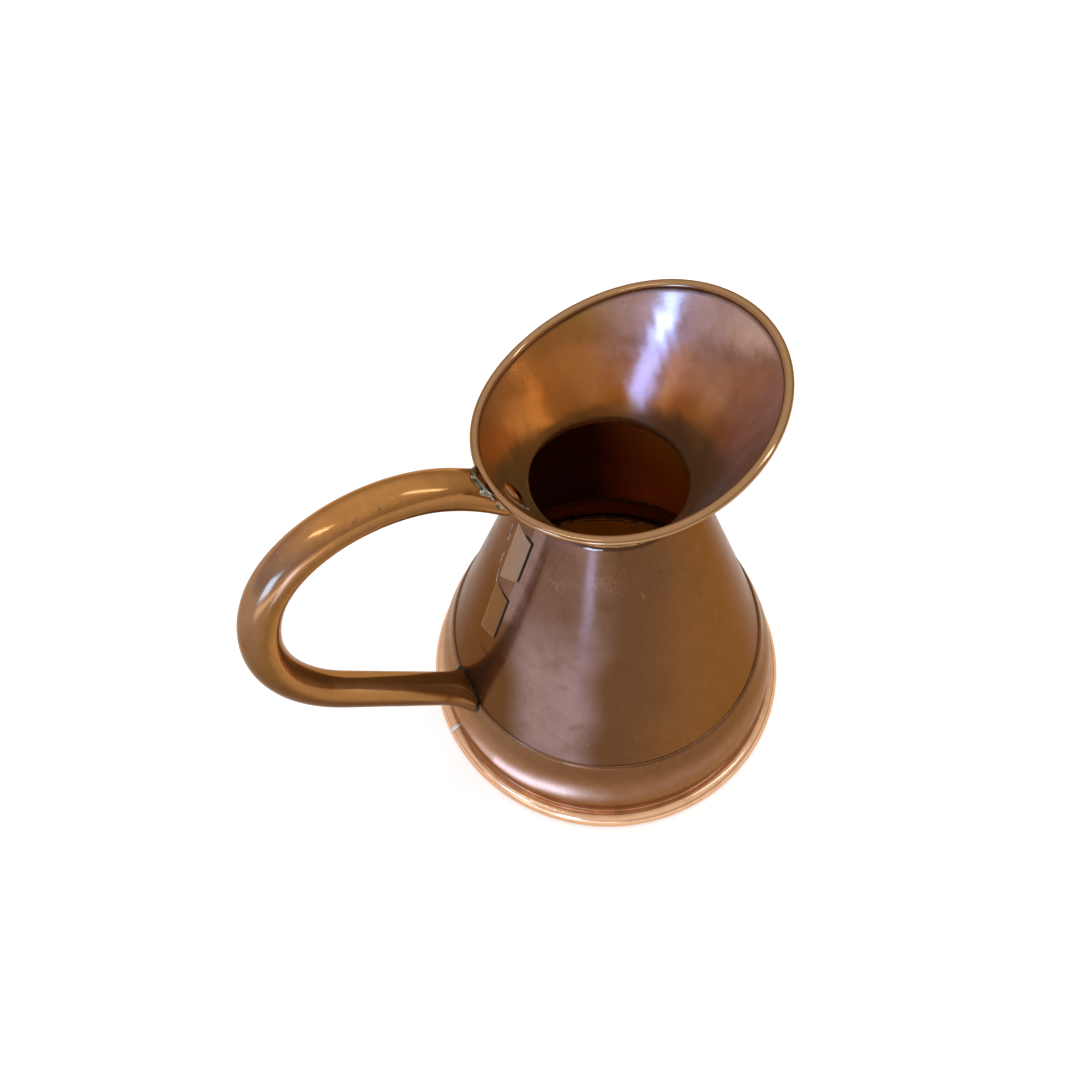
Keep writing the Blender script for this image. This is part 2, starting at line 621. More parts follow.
# %% Handle path and section
TOP_RADIUS, FOOT_TUBE_RADIUS, HANDLE_WALL = 8.1, 8.5, 1.0
ROOT_DROP, ROOT_ANGLE, ROOT_LENGTH = 9.1, 35.7, 20.8
TOP_BEND, TOP_SWEEP = 55.0, 98.7
ARM_ANGLE, ARM_DROP, SPLAY = 48.6, 2.3, 20.0
ROOT_HALF_WIDTH, ROOT_OVER, ROOT_UNDER = 12.0, 4.5, 9.5
ARM_HALF_WIDTH, ARM_OVER, ARM_UNDER = 13.0, 5.5, 9.0

root_heading = math.radians(180 - ROOT_ANGLE)
bend_heading = root_heading + math.radians(TOP_SWEEP)
arm_heading = math.radians(360 - ARM_ANGLE)
root_z = back_lip_z - ROOT_DROP
root_start = np.array([-(flare_radius(root_z) + flare_wall), root_z])
arm_end = np.array([-body_radius(SKIRT_HEIGHT - ARM_DROP), SKIRT_HEIGHT - ARM_DROP])


def way(t):
    """Unit step in the x, z plane for a heading in radians."""
    return np.stack([np.cos(t), np.sin(t)], axis=-1)


def unit_arc(t0, t1):
    """The move made by a left-turning arc of unit radius between two headings."""
    t1 = np.asarray(t1, float)
    return np.stack([np.sin(t1) - np.sin(t0), np.cos(t0) - np.cos(t1)], axis=-1)


cross = lambda p, q: p[0] * q[1] - p[1] * q[0]
bend_start = root_start + ROOT_LENGTH * way(root_heading)
bend_end = bend_start + TOP_BEND * unit_arc(root_heading, bend_heading)
low_move, arm_way = unit_arc(bend_heading, arm_heading), way(arm_heading)
to_go = arm_end - bend_end
LOW_BEND = cross(to_go, arm_way) / cross(low_move, arm_way)
arm_length = cross(low_move, to_go) / cross(low_move, arm_way)
top_arc = TOP_BEND * math.radians(TOP_SWEEP)
low_arc = LOW_BEND * (arm_heading - bend_heading)
handle_length = ROOT_LENGTH + top_arc + low_arc + arm_length
print(f"lower bend radius {LOW_BEND:.1f}, arm {arm_length:.1f}, handle {handle_length:.1f} mm")


def handle_centre(s):
    """Centre (x, z) and heading at distance s: line, arc, arc, line, by the distance walked."""
    s = np.asarray(s, float)[..., None]
    t1 = root_heading + (s[..., 0] - ROOT_LENGTH) / TOP_BEND
    t2 = bend_heading + (s[..., 0] - ROOT_LENGTH - top_arc) / LOW_BEND
    on = [s < ROOT_LENGTH, s < ROOT_LENGTH + top_arc, s < ROOT_LENGTH + top_arc + low_arc]
    centre = np.select(on, [root_start + s * way(root_heading),
                            bend_start + TOP_BEND * unit_arc(root_heading, t1),
                            bend_end + LOW_BEND * unit_arc(bend_heading, t2)],
                       arm_end + (s - handle_length) * way(arm_heading))
    turn = np.select([c[..., 0] for c in on], [np.full_like(t1, root_heading), t1, t2], arm_heading)
    return centre, turn


def handle_point(s, k, grow=0.0):
    """Point of the tube at distance s and section angle k: an oval of two unlike halves."""
    s, k = np.broadcast_arrays(np.asarray(s, float), np.asarray(k, float))
    centre, turn = handle_centre(s)
    radius = TOP_RADIUS + (FOOT_TUBE_RADIUS - TOP_RADIUS) * np.clip(s / handle_length, 0, 1)
    root, arm = (np.clip(1 - d / SPLAY, 0, 1) ** 2 for d in (s, handle_length - s))
    spread = lambda at_root, at_arm: radius + root * (at_root - radius) + arm * (at_arm - radius)
    width = spread(ROOT_HALF_WIDTH, ARM_HALF_WIDTH)
    half = np.where(np.sin(k) > 0, spread(ROOT_OVER, ARM_UNDER), spread(ROOT_UNDER, ARM_OVER))
    thick = np.sin(k) * (half + grow)
    return np.stack([centre[..., 0] + np.sin(turn) * thick, np.cos(k) * (width + grow),
                     centre[..., 1] - np.cos(turn) * thick], axis=-1)


# %% [markdown]
# How far a point is from the walls
#
# To cut the tube's ends the script needs the distance from any point to the funnel with its lip,
# and to the body with its foot. Both are turned shapes, so the distance is measured in the plane
# through the axis: to a straight line for a cone, to a circle for the bead, to the nearest of a
# row of points for the skirt's curve.

# %% Distance to the walls
lip_table_a = np.linspace(-np.pi, np.pi, 721)
lip_table = lip_point(lip_table_a)
skirt_curve = np.concatenate([[[skirt_top_radius, SKIRT_HEIGHT]], ogee(0, 60)])[::-1]
FIT = 0.12
TOP_SPAN, FOOT_SPAN = (-30, 45), (handle_length + 40, handle_length - 50)


def off_mouth(p):
    """Distance outside the funnel's outer face or its bead, whichever is nearer."""
    r, az = np.hypot(p[..., 0], p[..., 1]), np.arctan2(p[..., 1], p[..., 0])
    wall = (r - flare_radius(p[..., 2]) - flare_wall) * math.cos(FLARE_ANGLE)
    cr, cz = (np.interp(az, lip_table_a, row) for row in lip_table)
    return np.minimum(wall, np.hypot(r - cr, p[..., 2] - cz) - LIP_BEAD)


def off_body(p):
    """Distance outside the cone, or outside the skirt below its top edge."""
    r, run = np.hypot(p[..., 0], p[..., 1]), math.hypot(1, body_slope)
    skirt_r = np.interp(p[..., 2], skirt_curve[:, 1], skirt_curve[:, 0])
    skirt = np.where(p[..., 2] < SKIRT_HEIGHT + 0.3, (r - skirt_r) / run, 99.0)
    return np.minimum((r - body_radius(p[..., 2])) / run, skirt)


def leaves_wall(k, off, grow, span, gap=FIT):
    """Distance s at which each long line k of the tube is last within gap of a wall."""
    s = np.linspace(*span, 1600)
    d = off(handle_point(s[None, :], k, grow))
    last = len(s) - 1 - np.argmax((d < gap)[:, ::-1], axis=1)
    after, rows = np.minimum(last + 1, len(s) - 1), np.arange(len(k))
    d0, d1 = d[rows, last], d[rows, after]
    part = np.clip((gap - d0) / np.where(d1 == d0, 1, d1 - d0), 0, 1)
    return (s[last] + (s[after] - s[last]) * part)[:, None]


print(f"the root starts {off_mouth(handle_point(0.0, 0.0)):.2f} mm off the funnel")

# %% [markdown]
# The tube itself
#
# The long lines run between the two cuts, outside and again one wall further in. The underside is
# shaded, a mauve film lies on the outside of the upper bend, and one line of the arm is rubbed.

# %% Handle tube
k = around(72)
top_end, top_bore = (leaves_wall(k, off_mouth, grow, TOP_SPAN) for grow in (0.0, -HANDLE_WALL))
foot_end, foot_bore = (leaves_wall(k, off_body, grow, FOOT_SPAN) for grow in (0.0, -HANDLE_WALL))
t = eased(300, 1.1)
s = top_end + (foot_end - top_end) * t
bore_s = top_bore + (foot_bore - top_bore) * t
outside = handle_point(s, k)
wave_k = np.cos(k) * 9 + 0 * s
dimple = 0.05 * ripple(s, wave_k, 51, waves=9, spread=26)
outside = outside + dimple[..., None] * (outside - handle_point(s, k, -1.0))
bore = handle_point(bore_s, k, -HANDLE_WALL)
from_end = np.minimum(s - top_end, foot_end - s)
along = s + 5 * ripple(s, wave_k, 52, spread=30)
film = 0.45 * soft_step(66, 96, along) * soft_step(176, 140, along) * soft_step(0.1, 0.8, np.sin(k))
on_arm = soft_step(handle_length - arm_length - 30, handle_length - arm_length, s)
WORN_LINE = 238
worn = 0.5 * on_arm * hill(np.degrees(k), WORN_LINE, 15) * soft_step(2, 12, from_end)
toward_floor = soft_step(0.75, -0.35, np.sin(k) * -np.cos(handle_centre(s)[1]))
toward_floor = toward_floor * soft_step(-0.45, 0.05, np.sin(k)) * (1 + 0.35 * on_arm)
shade = toward_floor * (1 - 0.4 * film) + 0.6 * film + 0.30 * soft_step(130, 190, s)
marks = dict(wear=worn, grime=0.8 * soft_step(2.6, 0.2, from_end), inside=0 * s,
             shade=np.minimum(shade, 1.0), bloom=film)
in_bore = lambda mark: np.full(s.shape, float(mark == "inside"))
marks = {mark: np.concatenate([value, in_bore(mark)], axis=1) for mark, value in marks.items()}
handle = grid_piece("handle_shell", np.concatenate([outside, bore[:, ::-1]], axis=1), **marks)
settle(handle, "handle_tube")

# %% [markdown]
# Soft solder
#
# Solder wets both metals and freezes in a lumpy fillet. For each line of the tube, one point is
# taken a little way up the tube and one a little way out on the wall; a curve bulges between them,
# and its two lengths and its bulge wander round the joint. Lumps are sums of a few waves that fit
# a whole number of times round the joint, so that the ring closes.

# %% Solder fillets
SKIN_GAP = 0.06


def fillet(name, node, k, off, span, away, tube_reach, wall_reach, bulge):
    """A ring of solder: Bezier curves from the tube to the wall, closed through the corner."""
    tube_end = leaves_wall(k, off, 0.0, span)
    at_tube = handle_point(tube_end + away * tube_reach, k, SKIN_GAP)
    at_wall = handle_point(leaves_wall(k, off, wall_reach, span, SKIN_GAP), k, wall_reach)
    corner = handle_point(tube_end + away * 0.1, k, SKIN_GAP)
    out = at_tube + at_wall - 2 * corner
    out /= np.linalg.norm(out, axis=-1, keepdims=True) + 1e-9
    top = corner + out * bulge[..., None]
    t = np.linspace(0, 1, 12)[:, None]
    skin = (1 - t) ** 2 * at_tube + 2 * t * (1 - t) * top + t**2 * at_wall
    points = np.concatenate([skin, corner], axis=1)
    rough = 0.10 * ripple(points[..., 1] + points[..., 0], points[..., 2], 61, waves=12, spread=2.6)
    rough[:, [0, -1, -2]] = 0
    settle(grid_piece(name, points + rough[..., None] * out), node)


k = around(160)
seen = soft_step(-0.95, -0.4, np.sin(k)) * soft_step(0.3, -0.5, np.cos(k))
reach = 1.2 + 3.3 * seen + 3.6 * hill(np.degrees(k), 180, 26) + 0.9 * lumps(k, 3)
wall_reach = 0.6 + 0.3 * lumps(k, 4) + 1.5 * seen
fillet("handle_top_solder_fillet", "handle_top_solder", k, off_mouth, TOP_SPAN, 1,
       np.clip(reach, 0.7, 9), np.clip(wall_reach, 0.25, 2.4), 0.55 + 0.35 * lumps(k, 5, 3, 19))
fillet("handle_foot_solder_fillet", "handle_foot_solder", k, off_body, FOOT_SPAN, -1,
       np.clip(0.9 + 0.3 * lumps(k, 6), 0.4, 4), np.clip(0.7 + 0.35 * lumps(k, 7), 0.25, 2.2),
       0.25 + 0.15 * lumps(k, 8))

# %% [markdown]
# The rivets
#
# Inside the funnel, under the lip, sits the domed head of a copper rivet that holds the handle. A
# rivet is a turned shape on the normal of its wall. The lower one, down in the dark, is made the
# same way.

# %% Rivets
RIVET_RADIUS, HEAD_RADIUS, HEAD_HEIGHT, HEAD_EDGE = 2.2, 5.2, 1.9, 0.35
TOP_RIVET_DROP, FOOT_RIVET_DROP = 16.5, 4.1


def set_on(points, face, out):
    """Points with their own upright axis, turned so that it lies along out, and moved to face."""
    z_axis = np.asarray(out) / np.linalg.norm(out)
    x_axis = np.cross([0, 1, 0], z_axis)
    x_axis /= np.linalg.norm(x_axis)
    return points @ np.stack([x_axis, np.cross(z_axis, x_axis), z_axis]) + np.asarray(face)


def rivet(end, face, out, wall, depth):
    """Shank out into the handle, head inside the jug; the outline ends at the dome."""
    seat = -wall - 2 * GAP
    t = np.radians(np.linspace(8, 89, 14))
    dome = np.stack([HEAD_RADIUS * np.cos(t),
                     seat - HEAD_EDGE - (HEAD_HEIGHT - HEAD_EDGE) * np.sin(t)], axis=1)
    shank = [[0.02, depth], [RIVET_RADIUS - 0.2, depth], [RIVET_RADIUS, depth - 0.2],
             [RIVET_RADIUS, seat + 0.1], [RIVET_RADIUS + 0.1, seat], [HEAD_RADIUS - 0.15, seat],
             [HEAD_RADIUS, seat - 0.2]]
    r, z = np.concatenate([shank, dome]).T
    a = around(64)
    beaten = 1 + 0.025 * ripple(np.cos(a) * r, np.sin(a) * r, 71, spread=4)
    made = grid_piece(f"handle_{end}_rivet_head", set_on(swept_round(a, r * beaten, z), face, out),
                      close_v=False, more_faces=turned_ends(len(a), len(r)),
                      wear=soft_step(4.9, 3.2, r) * (z < seat), grime=0.5 * soft_step(4.6, 5.2, r))
    settle(made, f"handle_{end}_rivet")


top_rivet_z, foot_rivet_z = back_lip_z - TOP_RIVET_DROP, SKIRT_HEIGHT - FOOT_RIVET_DROP
rivet("top", [-(flare_radius(top_rivet_z) + flare_wall), 0, top_rivet_z],
      [-math.cos(FLARE_ANGLE), 0, -math.sin(FLARE_ANGLE)], FLARE_SHEET, 3.4)
rivet("foot", [-(body_radius(foot_rivet_z) + GAP + SHEET), 0, foot_rivet_z],
      [-1, 0, body_slope], 2 * SHEET + GAP, 6.0)

# %% [markdown]
# The solder round the upper rivet
#
# It is a pool on the funnel's inner face: polar rings round the rivet, pressed on to the cone,
# whose outer edge wanders and whose thickness fades to the edge.

# %% Solder round the rivet head
def on_funnel(u, v, height):
    """The funnel's inner face near the rivet: u along the slope, v round, height inwards."""
    z = top_rivet_z + u * math.cos(FLARE_ANGLE)
    r = flare_radius(z)
    turn = np.pi + v / r
    r = r - height * math.cos(FLARE_ANGLE)
    z = z + height * math.sin(FLARE_ANGLE)
    return np.stack([r * np.cos(turn), r * np.sin(turn), z], axis=-1)


a = around(96)
LONG_WAY = np.radians(58)
edge = 7.2 + 1.5 * np.cos(a + LONG_WAY) + 0.7 * lumps(a, 9, 2, 9)
t = np.linspace(0, 1, 22)
hole = HEAD_RADIUS + 0.25
ring = hole + (edge - hole) * t
u, v = np.sin(a) * ring, np.cos(a) * ring
thick = 0.10 + 0.55 * np.sqrt(1 - t**2) * (1 + 0.35 * ripple(v, u, 81, spread=3))
pool = np.concatenate([on_funnel(u, v, thick), on_funnel(u, v, 0.05)[:, ::-1]], axis=1)
rim = 0.9 * soft_step(0.72, 0.88, t) * soft_step(-0.1, 0.6, np.cos(a + LONG_WAY))
settle(grid_piece("rivet_solder_pool", pool, wear=np.concatenate([rim, 0 * rim], axis=1)),
       "rivet_solder")

# %% [markdown]
# The base and the last of the solder
#
# Far down in the dark the floor of the jug shows as a warm disc. It is turned like the rest, with a
# fillet of solder round its edge. A smaller fillet closes the neck under the funnel, and a smear
# covers the joint in the foot's bead under the handle.

# %% Base disc and small solder
BASE_SEAT, BASE_KICK, BASE_THICK, BASE_POINTS = 2.9, 2.0, 1.2, 60
base_z = groove_z + BASE_SEAT
seat_rise = (BASE_SEAT - GROOVE_REACH) / (BELLY_HEIGHT - groove_z - GROOVE_REACH)
base_radius = (groove_radius + GROOVE_SIDE + (BELLY_OVERHANG - GROOVE_SIDE) * seat_rise
               - SHEET - GAP)
a = around(200)
r = np.concatenate([np.linspace(0.05, base_radius - 0.3, BASE_POINTS), [base_radius],
                    [base_radius - 0.3], np.linspace(base_radius - 0.5, 0.05, BASE_POINTS)])
kick = BASE_KICK * np.cos(np.clip(r / (base_radius * 0.78), 0, 1) * np.pi / 2) ** 2
z = base_z + kick + np.repeat([0, BASE_THICK / 2, BASE_THICK], [BASE_POINTS, 1, BASE_POINTS + 1])
dent = 0.12 * ripple(np.cos(a) * r, np.sin(a) * r, 91, spread=45)
z = z + dent * soft_step(base_radius, base_radius - 12, r)
settle(grid_piece("base_floor", swept_round(a, r, z), close_v=False,
                  more_faces=turned_ends(len(a), len(r))), "base_disc")


def ring_fillet(node, corner_r, corner_z, reach_r, reach_z, seed, lean=0.0):
    """A wavering hollow triangle turned about the axis, reach_r out and reach_z up."""
    a = around(240)
    wave = 1 + 0.16 * lumps(a, seed, 3, 40)
    t = np.linspace(0, 1, 8)
    hollow = 0.30 * np.sin(np.pi * t)
    corner = np.ones_like(a)
    r = np.concatenate([corner_r + reach_r * wave * (1 - t) * (1 - hollow), corner_r * corner], 1)
    z = np.concatenate([corner_z + reach_z * wave * t * (1 - hollow), corner_z * corner], 1)
    made = grid_piece(node + "_fillet", swept_round(a, r + lean * (z - neck_z), z))
    settle(made, node)


ring_fillet("base_solder", base_radius + 0.12, base_z + 1.35, -2.1, 2.0, 12)
ring_fillet("neck_solder", NECK_RADIUS + flare_wall + 0.15, neck_z + 0.08, 1.1, 2.6, 13,
            lean=flare_slope)

SMEAR_ROWS, SMEAR_POINTS, SMEAR_THICK = 26, 15, 0.42
t = np.radians(np.linspace(2, 108, SMEAR_ROWS))[:, None]
across = np.linspace(-1, 1, SMEAR_POINTS)
y = across * (1.0 + 0.55 * ripple(t * 5, 0 * t, 14, spread=5))
fade = np.sin(np.linspace(0.02, np.pi - 0.02, SMEAR_ROWS))[:, None]
thick = SMEAR_THICK * np.sqrt(1 - across**2) * np.sqrt(fade)


def on_foot_bead(lift):
    """Points round the foot's bead at a lift over it, spread along y at the back of the jug."""
    reach = FOOT_BEAD + 0.05 + lift
    r = bead_radius + reach * np.cos(t)
    return np.stack([-np.sqrt(r**2 - y**2), y, bead_z + reach * np.sin(t) + 0 * y], axis=-1)


skin = np.concatenate([on_foot_bead(thick + 0.02), on_foot_bead(0.0)[:, ::-1]], axis=1)
smear = grid_piece("foot_seam_smear", skin, close_u=False,
                   more_faces=strip_ends(SMEAR_ROWS, SMEAR_POINTS))
settle(smear, "foot_seam_solder")

# %% [markdown]
# Building materials by script
#
# A material is a small graph. One helper adds a node, sets what is a number and links what is a
# socket, so that each line below reads as one step of the recipe.

# %% Node helper
def feed(tree, node, inputs):
    """Fills a node's inputs: a socket is linked, a number or a colour is set."""
    for key, value in inputs.items():
        if isinstance(value, bpy.types.NodeSocket):
            tree.links.new(value, node.inputs[key])
        else:
            node.inputs[key].default_value = value


def put(tree, kind, inputs=None, out=0, **settings):
    """Adds a node, sets its settings, fills its inputs and returns one output."""
    made = tree.nodes.new(kind)
    for key, value in settings.items():
        setattr(made, key, value)
    feed(tree, made, inputs or {})
    return made.outputs[out]


def math_node(tree, operation, *values, clamp=False):
    """One sum on numbers or sockets."""
    return put(tree, "ShaderNodeMath", dict(enumerate(values)), operation=operation,
               use_clamp=clamp)


def sums(tree):
    """Short names for sums in one tree: product, sum, difference, the larger, and a * b + c."""
    kinds = ("MULTIPLY", "ADD", "SUBTRACT", "MAXIMUM", "MULTIPLY_ADD")
    return [lambda *values, kind=kind: math_node(tree, kind, *values) for kind in kinds]


def mask_node(tree, value, low, high):
    """0 where value is low, 1 where it is high, smooth between; low may be the larger."""
    return put(tree, "ShaderNodeMapRange", {"Value": value, "From Min": low, "From Max": high},
               interpolation_type="SMOOTHSTEP")


def mix_node(tree, factor, a, b):
    """Colour a where the factor is 0, b where it is 1."""
    return put(tree, "ShaderNodeMix", {0: factor, 6: a, 7: b}, out=2, data_type="RGBA")


def noise_node(tree, where, scale, detail=3.0, rough=0.55, stretch=(1, 1, 1), shift=(0, 0, 0),
               twist=0.0):
    """Noise over Object coordinates, its scale per metre; stretch squeezes it along an axis."""
    moved = put(tree, "ShaderNodeMapping", {"Vector": where, "Scale": stretch, "Location": shift})
    return put(tree, "ShaderNodeTexNoise", {"Vector": moved, "Scale": scale, "Detail": detail,
                                            "Roughness": rough, "Distortion": twist})


def attribute_node(tree, name):
    """A number stored per point of the mesh."""
    return put(tree, "ShaderNodeAttribute", out=2, attribute_name=name)


def bump_node(tree, height, distance):
    """A normal bent by a height, whose full range counts as a distance in metres."""
    return put(tree, "ShaderNodeBump", {"Height": height, "Strength": 1.0, "Distance": distance})


def rgb(r, g, b):
    """A colour with full alpha."""
    return (r, g, b, 1.0)


def new_material(name):
    """An empty material with its Principled shader and output; returns material, tree, shader."""
    made = bpy.data.materials.new(name)
    made.use_nodes = True
    tree = made.node_tree
    tree.nodes.clear()
    shader = tree.nodes.new("ShaderNodeBsdfPrincipled")
    out = tree.nodes.new("ShaderNodeOutputMaterial")
    tree.links.new(shader.outputs[0], out.inputs[0])
    return made, tree, shader


print("helpers for materials are ready")

# %% [markdown]
# What age does to copper
#
# Old copper isn't one colour. A skin of oxide thickens slowly and unevenly; hands and cloths keep
# edges bright; grime stays in corners; long vertical rubs and fine scratches cross it. One group
# works these out from Object coordinates and from the marks stored on the meshes, and each copper
# material uses them with colours of its own.

# %% Group: aged copper
GROUP_INPUTS = {"Skin": "Color", "Skin Away": "Color", "Bright": "Color", "Dark": "Color",
                "Inner": "Color", "Bloom": "Color", "Turn From": "Float", "Turn To": "Float",
                "Metal": "Float", "Roughness": "Float", "Speckle": "Float", "Scratches": "Float"}
GROUP_OUTPUTS = {"Color": "Color", "Roughness": "Float", "Metallic": "Float", "Height": "Float"}
aged = bpy.data.node_groups.new("aged_copper", "ShaderNodeTree")
for sockets, way_in in ((GROUP_INPUTS, "INPUT"), (GROUP_OUTPUTS, "OUTPUT")):
    for label, kind in sockets.items():
        aged.interface.new_socket(label, in_out=way_in, socket_type=f"NodeSocket{kind}")
given = aged.nodes.new("NodeGroupInput").outputs
times, plus, minus, larger, times_plus = sums(aged)
here = put(aged, "ShaderNodeTexCoord", out=3)
wear, grime, inside, shade, bloom, nicks = (
    attribute_node(aged, mark) for mark in ("wear", "grime", "inside", "shade", "bloom", "nicks"))
slow = noise_node(aged, here, 9.0, 3, 0.5)
mottle = noise_node(aged, here, 70.0, 5, 0.62, twist=0.4)
fine = noise_node(aged, here, 900.0, 4, 0.6)
rubs = noise_node(aged, here, 260.0, 3, 0.6, stretch=(1, 1, 0.10))
pits = noise_node(aged, here, 420.0, 2, 0.5)
uneven = minus(mottle, 0.5)

right = put(aged, "ShaderNodeVectorMath", {0: here, 1: (VIEW_X, -VIEW_Y, 0.0)}, out=1,
            operation="DOT_PRODUCT")
right = times_plus(minus(slow, 0.5), 0.06, minus(right, VIEW_X * AXIS_X))
side = mask_node(aged, right, given["Turn From"], given["Turn To"])
skin = mix_node(aged, side, given["Skin"], given["Skin Away"])
skin = mix_node(aged, times(bloom, mask_node(aged, mottle, -0.1, 0.6)), skin, given["Bloom"])
tone = plus(times(mottle, 0.55), times(rubs, 0.45))
tone = put(aged, "ShaderNodeMapRange", {"Value": tone, "From Min": 0.3, "From Max": 0.7,
                                        "To Min": -1.0, "To Max": 1.0})
mottled = times_plus(times(tone, given["Speckle"]), 0.45, 1.0)
skin = put(aged, "ShaderNodeVectorMath", {0: skin, 3: mottled}, operation="SCALE")
spots = times(mask_node(aged, pits, 0.66, 0.74), given["Speckle"])
skin = mix_node(aged, spots, skin, given["Dark"])

scratch = []
for turn, shift in ((0.35, 0.0), (-0.5, 0.3), (1.2, 0.7)):
    moved = put(aged, "ShaderNodeMapping",
                {"Vector": here, "Rotation": (turn, 0.6 * turn, 0.4), "Location": (shift, 0, 0)})
    drawn = put(aged, "ShaderNodeMapping", {"Vector": moved, "Scale": (1, 1, 0.02)})
    lines = put(aged, "ShaderNodeTexNoise", {"Vector": drawn, "Scale": 1500.0, "Detail": 0.0})
    gate = put(aged, "ShaderNodeTexNoise", {"Vector": moved, "Scale": 60.0, "Detail": 1.0})
    scratch.append(times(mask_node(aged, lines, 0.72, 0.80), mask_node(aged, gate, 0.54, 0.66)))
scratch = times(larger(larger(scratch[0], scratch[1]), scratch[2]), given["Scratches"])

rubbed = math_node(aged, "ADD", wear, times(uneven, 0.9), clamp=True)
rubbed = times(rubbed, mask_node(aged, wear, 0.0, 0.25))
dots = mask_node(aged, noise_node(aged, here, 1500.0, 0, 0.5, stretch=(1, 1, 1.6)), 0.66, 0.73)
bright = larger(larger(rubbed, times(dots, times(nicks, 0.55))), times(scratch, 0.8))
color = mix_node(aged, bright, skin, given["Bright"])
color = mix_node(aged, inside, color, given["Inner"])
crust = math_node(aged, "ADD", grime, times(uneven, 0.9), clamp=True)
crust = times(crust, mask_node(aged, grime, 0.0, 0.3))
color = mix_node(aged, crust, color, given["Dark"])
color = put(aged, "ShaderNodeVectorMath", {0: color, 3: times_plus(shade, -0.7, 1.0)},
            operation="SCALE")
rough = times_plus(uneven, 0.25, given["Roughness"])
rough = times_plus(rubbed, -0.07, times_plus(spots, 0.25, times_plus(crust, 0.35, rough)))
height = times_plus(mottle, 0.5, times(fine, 0.25))
height = minus(minus(height, times(scratch, 0.4)), times(spots, 0.4))
metal = times(larger(given["Metal"], bright), times_plus(crust, -0.6, 1.0))
feed(aged, aged.nodes.new("NodeGroupOutput"),
     {"Color": color, "Roughness": rough, "Metallic": metal, "Height": height})
print("the group has", len(aged.nodes), "nodes")

# %% [markdown]
# The copper finishes
#
# Each piece was cleaned, handled and heated in its own way. The foot is the brightest, the cone
# browner, the handle golden; the flaps of the seam differ from the sheet they lie on.

# %% Copper finishes
def copper(name, skin, away=None, turn=(0.0, 0.05), metal=1.0, roughness=0.25, coat=0.05,
           speckle=0.2, scratches=0.2, bloom=(0.24, 0.145, 0.125), bright=(0.62, 0.36, 0.19),
           dark=(0.028, 0.012, 0.007), inner=(0.34, 0.14, 0.025), edge=(0.75, 0.55, 0.4),
           bump=0.00006, gloss=0.5):
    """A copper finish: the aged group's outputs into a Principled shader with a thin clear coat."""
    made, tree, shader = new_material(name)
    group = tree.nodes.new("ShaderNodeGroup")
    group.node_tree = aged
    feed(tree, group, {"Skin": rgb(*skin), "Skin Away": rgb(*(away or skin)),
                       "Bright": rgb(*bright), "Dark": rgb(*dark),
                       "Inner": rgb(*inner), "Bloom": rgb(*bloom),
                       "Turn From": turn[0], "Turn To": turn[1], "Metal": metal,
                       "Roughness": roughness, "Speckle": speckle, "Scratches": scratches})
    aged_by = group.outputs
    feed(tree, shader, {"Base Color": aged_by["Color"], "Roughness": aged_by["Roughness"],
                        "Metallic": aged_by["Metallic"],
                        "Normal": bump_node(tree, aged_by["Height"], bump),
                        "Specular Tint": rgb(*edge), "Specular IOR Level": gloss,
                        "Coat Weight": coat, "Coat Roughness": 0.12})
    return made


finishes = {
    "body": copper("body_copper", (0.128, 0.057, 0.024), (0.20, 0.083, 0.026), metal=0.72,
                   roughness=0.19, coat=0.0, gloss=0.0, inner=(1.0, 0.46, 0.06),
                   edge=(0.68, 0.52, 0.44), bloom=(0.29, 0.185, 0.17)),
    "flap": copper("flap_copper", (0.250, 0.172, 0.138), roughness=0.28),
    "flap_brown": copper("flap_brown_copper", (0.165, 0.085, 0.047), roughness=0.28),
    "skirt": copper("skirt_copper", (0.31, 0.16, 0.085), (0.23, 0.098, 0.038),
                    turn=(-0.080, -0.01), metal=0.85, roughness=0.24, gloss=0.1,
                    bright=(0.80, 0.47, 0.27), bloom=(0.88, 0.70, 0.68),
                    inner=(0.20, 0.075, 0.008)),
    "flare": copper("flare_copper", (0.55, 0.275, 0.075), (0.44, 0.215, 0.09), turn=(-0.01, 0.03),
                    metal=0.80, roughness=0.19, coat=0.04, gloss=0.1, bright=(0.36, 0.195, 0.09),
                    bloom=(0.56, 0.37, 0.32), edge=(0.55, 0.38, 0.25)),
    "handle": copper("handle_copper", (0.42, 0.185, 0.052), metal=0.8, roughness=0.18, coat=0.08,
                     gloss=0.1, bump=0.00005, speckle=0.3, scratches=0.6,
                     bright=(0.66, 0.34, 0.14), bloom=(0.36, 0.25, 0.19), edge=(0.62, 0.45, 0.33)),
    "rivet": copper("rivet_copper", (0.50, 0.24, 0.10), roughness=0.24, bright=(0.62, 0.32, 0.15)),
    "floor": copper("floor_copper", (0.85, 0.25, 0.012), metal=0.15, roughness=0.35, bump=0.0001),
}
print(len(finishes), "copper finishes")

# %% [markdown]
# Solder, dirt and iron
#
# Soft solder is a grey, slightly blue metal that dulls to cream and grey-green oxide, with a
# frosted, lumpy skin. The iron wires are hidden in their rolled edges; they get a brown-black
# forged finish for any view from below.

